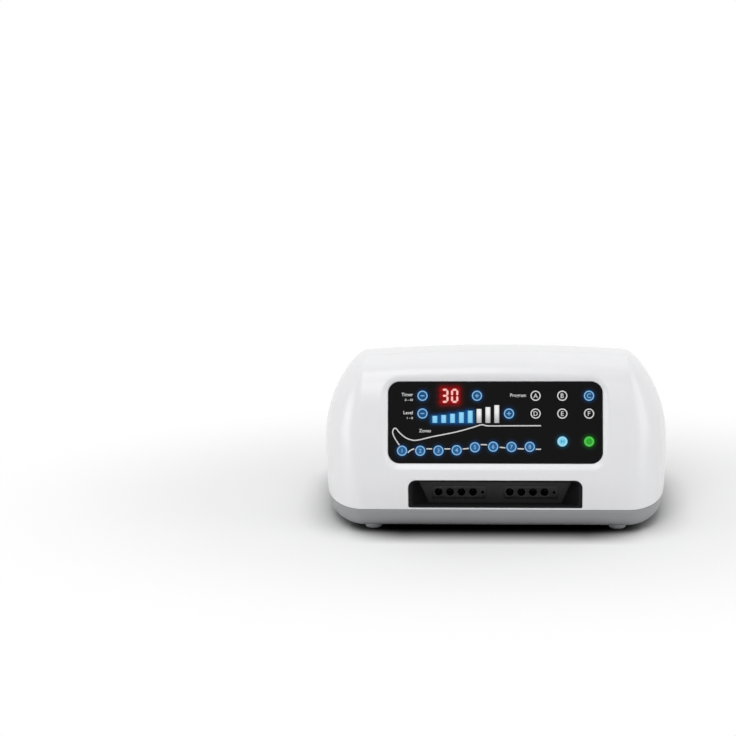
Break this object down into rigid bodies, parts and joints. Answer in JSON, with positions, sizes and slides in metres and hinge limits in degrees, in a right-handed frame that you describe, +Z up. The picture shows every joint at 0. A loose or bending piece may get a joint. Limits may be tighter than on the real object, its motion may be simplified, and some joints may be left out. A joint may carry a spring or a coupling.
{
  "type": "compression therapy pump",
  "caption": "Table-top air pump console with a sloping key panel, light bars, a two-digit display and a recessed bay of round hose ports along its foot.",
  "frame": {"origin": "on the table plane under the middle of the casing's plan, where its feet stand", "axes": "+X to the right as a user at the front sees it, +Y to the rear, +Z up"},
  "size_m": [0.3646, 0.24, 0.1834],
  "materials": {
    "housing_white": "satin moulded ABS",
    "base_grey": "fine textured ABS",
    "panel_black": "polished",
    "key_black": "polished, lit from behind",
    "key_cyan": "lit from behind",
    "key_green": "lit from behind",
    "display_red": "smoked, lit digits",
    "display_blue": "lit from behind",
    "bay_black": "fine textured ABS",
    "port_black": "moulded nylon",
    "plain_black": "moulded nylon",
    "foot_rubber": "matt",
    "silicone_grey": "satin",
    "board_green": "lacquered circuit board",
    "cast_aluminium": "die cast",
    "core_steel": "varnished laminations",
    "ribbon_grey": "ribbed insulation",
    "contact_brass": "nickel-free, polished",
    "screw_steel": "zinc plated"
  },
  "bodies": {
    "console": {"upper_housing": "housing_white", "lower_housing": "base_grey", "control_panel": "panel_black", "switch_mat": "silicone_grey", "display_board": "board_green", "time_display": "display_red", "pressure_bars": "display_blue", "hose_bay": "bay_black", "port_block_left": "port_black", "port_block_right": "port_black", "valve_manifold": "cast_aluminium", "valve_bank_left": "plain_black", "valve_bank_right": "plain_black", "compressor": "cast_aluminium", "supply_tube": "silicone_grey", "power_board": "board_green", "control_board": "board_green", "transformer": "core_steel", "ribbon_cable": "ribbon_grey", "mains_inlet": "plain_black", "rocker_frame": "plain_black", "fan_frame": "plain_black", "contact_live": "contact_brass", "contact_earth": "contact_brass", "contact_neutral": "contact_brass", "foot_front_left": "foot_rubber", "screw_front_left": "screw_steel", "mount_front_left": "foot_rubber", "foot_front_right": "foot_rubber", "screw_front_right": "screw_steel", "mount_front_right": "foot_rubber", "foot_rear_left": "foot_rubber", "screw_rear_left": "screw_steel", "mount_rear_left": "foot_rubber", "foot_rear_right": "foot_rubber", "screw_rear_right": "screw_steel", "mount_rear_right": "foot_rubber"},
    "power_rocker": {"power_rocker": "plain_black"},
    "fan_rotor": {"fan_rotor": "plain_black"},
    "time_minus_key": {"time_minus_key": "key_black"},
    "time_plus_key": {"time_plus_key": "key_black"},
    "pressure_minus_key": {"pressure_minus_key": "key_black"},
    "pressure_plus_key": {"pressure_plus_key": "key_black"},
    "mode_a_key": {"mode_a_key": "key_black"},
    "mode_b_key": {"mode_b_key": "key_black"},
    "mode_c_key": {"mode_c_key": "key_black"},
    "mode_d_key": {"mode_d_key": "key_black"},
    "mode_e_key": {"mode_e_key": "key_black"},
    "mode_f_key": {"mode_f_key": "key_black"},
    "start_key": {"start_key": "key_cyan"},
    "power_key": {"power_key": "key_green"},
    "zone_1_key": {"zone_1_key": "key_black"},
    "zone_2_key": {"zone_2_key": "key_black"},
    "zone_3_key": {"zone_3_key": "key_black"},
    "zone_4_key": {"zone_4_key": "key_black"},
    "zone_5_key": {"zone_5_key": "key_black"},
    "zone_6_key": {"zone_6_key": "key_black"},
    "zone_7_key": {"zone_7_key": "key_black"},
    "zone_8_key": {"zone_8_key": "key_black"}
  },
  "joints": [
    {"name": "time_minus_press", "type": "slide", "parent": "console", "child": "time_minus_key", "axis": [0, 0.9593, -0.2823], "range_m": [0, 0.0005], "stiffness_N_per_m": 400},
    {"name": "time_plus_press", "type": "slide", "parent": "console", "child": "time_plus_key", "axis": [0, 0.9593, -0.2823], "range_m": [0, 0.0005], "stiffness_N_per_m": 400},
    {"name": "pressure_minus_press", "type": "slide", "parent": "console", "child": "pressure_minus_key", "axis": [0, 0.9593, -0.2823], "range_m": [0, 0.0005], "stiffness_N_per_m": 400},
    {"name": "pressure_plus_press", "type": "slide", "parent": "console", "child": "pressure_plus_key", "axis": [0, 0.9593, -0.2823], "range_m": [0, 0.0005], "stiffness_N_per_m": 400},
    {"name": "mode_a_press", "type": "slide", "parent": "console", "child": "mode_a_key", "axis": [0, 0.9593, -0.2823], "range_m": [0, 0.0005], "stiffness_N_per_m": 400},
    {"name": "mode_b_press", "type": "slide", "parent": "console", "child": "mode_b_key", "axis": [0, 0.9593, -0.2823], "range_m": [0, 0.0005], "stiffness_N_per_m": 400},
    {"name": "mode_c_press", "type": "slide", "parent": "console", "child": "mode_c_key", "axis": [0, 0.9593, -0.2823], "range_m": [0, 0.0005], "stiffness_N_per_m": 400},
    {"name": "mode_d_press", "type": "slide", "parent": "console", "child": "mode_d_key", "axis": [0, 0.9593, -0.2823], "range_m": [0, 0.0005], "stiffness_N_per_m": 400},
    {"name": "mode_e_press", "type": "slide", "parent": "console", "child": "mode_e_key", "axis": [0, 0.9593, -0.2823], "range_m": [0, 0.0005], "stiffness_N_per_m": 400},
    {"name": "mode_f_press", "type": "slide", "parent": "console", "child": "mode_f_key", "axis": [0, 0.9593, -0.2823], "range_m": [0, 0.0005], "stiffness_N_per_m": 400},
    {"name": "start_press", "type": "slide", "parent": "console", "child": "start_key", "axis": [0, 0.9593, -0.2823], "range_m": [0, 0.0005], "stiffness_N_per_m": 400},
    {"name": "power_press", "type": "slide", "parent": "console", "child": "power_key", "axis": [0, 0.9593, -0.2823], "range_m": [0, 0.0005], "stiffness_N_per_m": 400},
    {"name": "zone_1_press", "type": "slide", "parent": "console", "child": "zone_1_key", "axis": [0, 0.9593, -0.2823], "range_m": [0, 0.0005], "stiffness_N_per_m": 400},
    {"name": "zone_2_press", "type": "slide", "parent": "console", "child": "zone_2_key", "axis": [0, 0.9593, -0.2823], "range_m": [0, 0.0005], "stiffness_N_per_m": 400},
    {"name": "zone_3_press", "type": "slide", "parent": "console", "child": "zone_3_key", "axis": [0, 0.9593, -0.2823], "range_m": [0, 0.0005], "stiffness_N_per_m": 400},
    {"name": "zone_4_press", "type": "slide", "parent": "console", "child": "zone_4_key", "axis": [0, 0.9593, -0.2823], "range_m": [0, 0.0005], "stiffness_N_per_m": 400},
    {"name": "zone_5_press", "type": "slide", "parent": "console", "child": "zone_5_key", "axis": [0, 0.9593, -0.2823], "range_m": [0, 0.0005], "stiffness_N_per_m": 400},
    {"name": "zone_6_press", "type": "slide", "parent": "console", "child": "zone_6_key", "axis": [0, 0.9593, -0.2823], "range_m": [0, 0.0005], "stiffness_N_per_m": 400},
    {"name": "zone_7_press", "type": "slide", "parent": "console", "child": "zone_7_key", "axis": [0, 0.9593, -0.2823], "range_m": [0, 0.0005], "stiffness_N_per_m": 400},
    {"name": "zone_8_press", "type": "slide", "parent": "console", "child": "zone_8_key", "axis": [0, 0.9593, -0.2823], "range_m": [0, 0.0005], "stiffness_N_per_m": 400},
    {"name": "power_rocker_tilt", "type": "hinge", "parent": "console", "child": "power_rocker", "pos_m": [0.048, 0.11287, 0.05559], "axis": [1, 0, 0], "range_deg": [0, 16]},
    {"name": "fan_spin", "type": "hinge", "parent": "console", "child": "fan_rotor", "pos_m": [-0.078, 0.10068, 0.07361], "axis": [0, 0.9905, 0.1373], "continuous": true}
  ]
}
